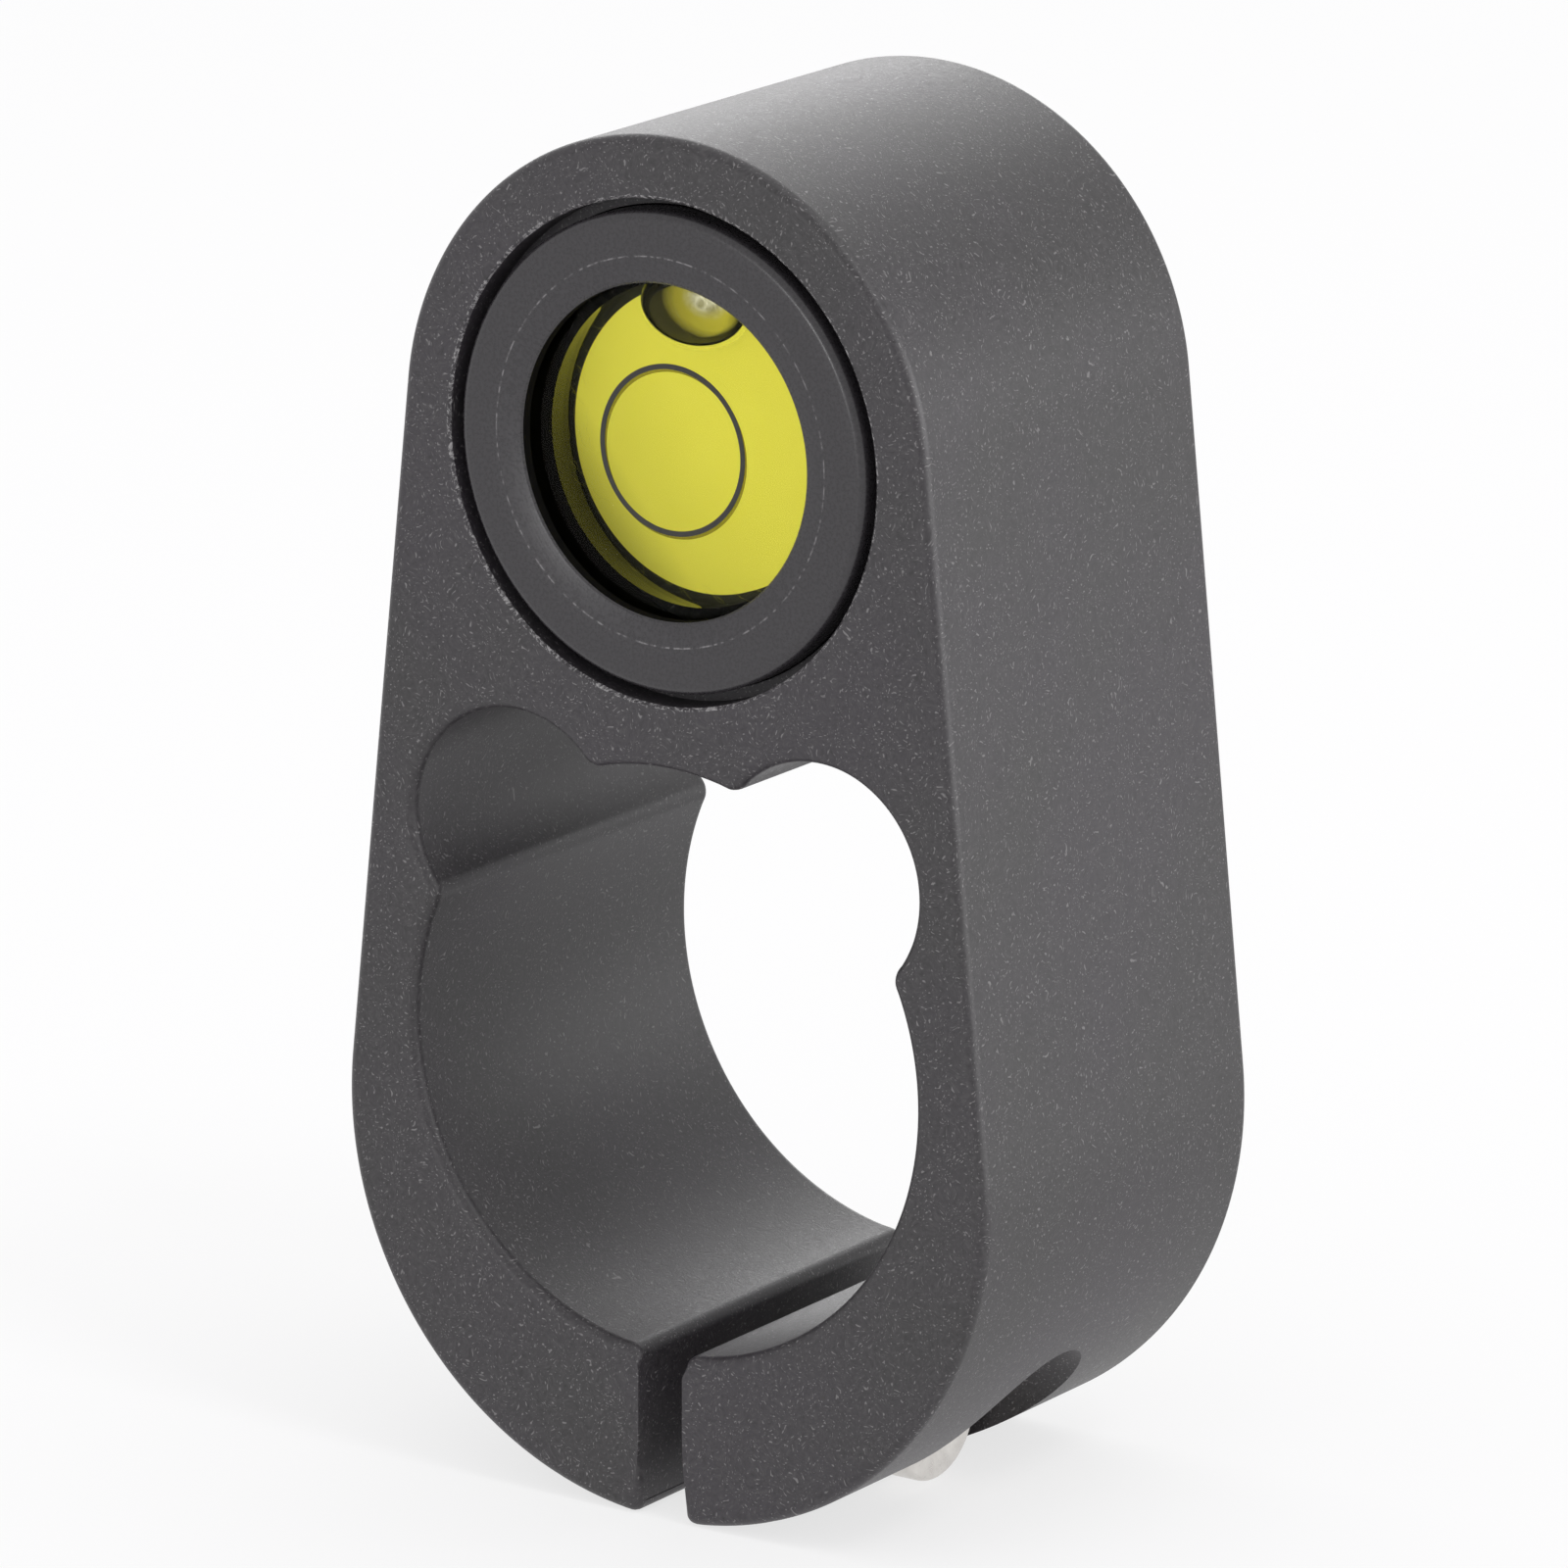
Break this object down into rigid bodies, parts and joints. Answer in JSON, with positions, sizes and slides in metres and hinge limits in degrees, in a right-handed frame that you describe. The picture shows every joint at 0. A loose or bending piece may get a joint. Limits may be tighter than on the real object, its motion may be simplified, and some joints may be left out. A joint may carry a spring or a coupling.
{
  "type": "bullseye level",
  "caption": "Split aluminium tube clamp with a round bubble level set in its front face above the bore; a cross screw draws the jaws together.",
  "frame": {"origin": "on the axis of the clamp's bore, halfway through the block", "axes": "+Y along the bore from the level's face to the back, +Z from the bore up to the level, +X to the right as the level is read"},
  "size_m": [0.032, 0.02, 0.0585],
  "materials": {
    "anodised_body": "bead blasted, dark anodised",
    "level_case": "turned, satin, dark anodised",
    "clear_cup": "clear, polished",
    "printed_line": "printed line",
    "tinted_liquid": "clear, tinted",
    "pale_plug": "smooth",
    "stainless_screw": "plain stainless"
  },
  "bodies": {
    "root": {"clamp_body": "anodised_body", "vial_housing": "level_case", "vial_capsule": "clear_cup", "centre_circle": "printed_line", "vial_liquid": "tinted_liquid", "vial_base": "pale_plug", "clamp_screw": "stainless_screw"}
  },
  "joints": []
}
